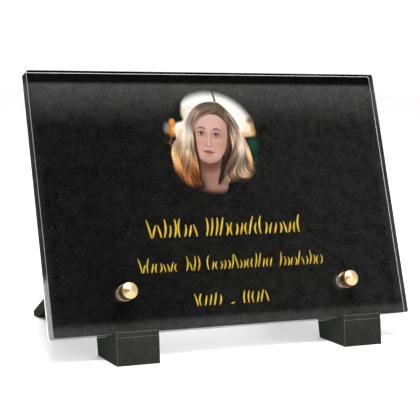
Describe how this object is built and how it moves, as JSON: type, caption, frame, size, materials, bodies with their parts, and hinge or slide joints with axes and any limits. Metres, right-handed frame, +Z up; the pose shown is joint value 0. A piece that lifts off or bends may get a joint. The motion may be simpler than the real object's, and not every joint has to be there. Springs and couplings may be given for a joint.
{
  "type": "grave plaque",
  "caption": "Clear rectangular grave plaque with a printed sheet behind it, leaning back on moulded feet with rear struts, held by brass cap screws.",
  "frame": {"origin": "middle of the part's footprint, on the ground that the feet and the struts stand on", "axes": "+X to the right along the plate's width, seen from the front; +Y to the rear, where the struts reach; +Z up"},
  "size_m": [0.3, 0.2006, 0.2088],
  "materials": {
    "clear_acrylic": "clear cast acrylic, polished faces and edges",
    "black_print": "printed sheet with pale edges, satin, black stone ground with a colour picture",
    "black_moulding": "moulded black plastic, satin",
    "brass": "turned brass, polished"
  },
  "bodies": {
    "root": {"clear_plate": "clear_acrylic", "printed_sheet": "black_print", "foot_left": "black_moulding", "foot_right": "black_moulding", "cap_screw_left": "brass", "cap_screw_right": "brass"}
  },
  "joints": []
}
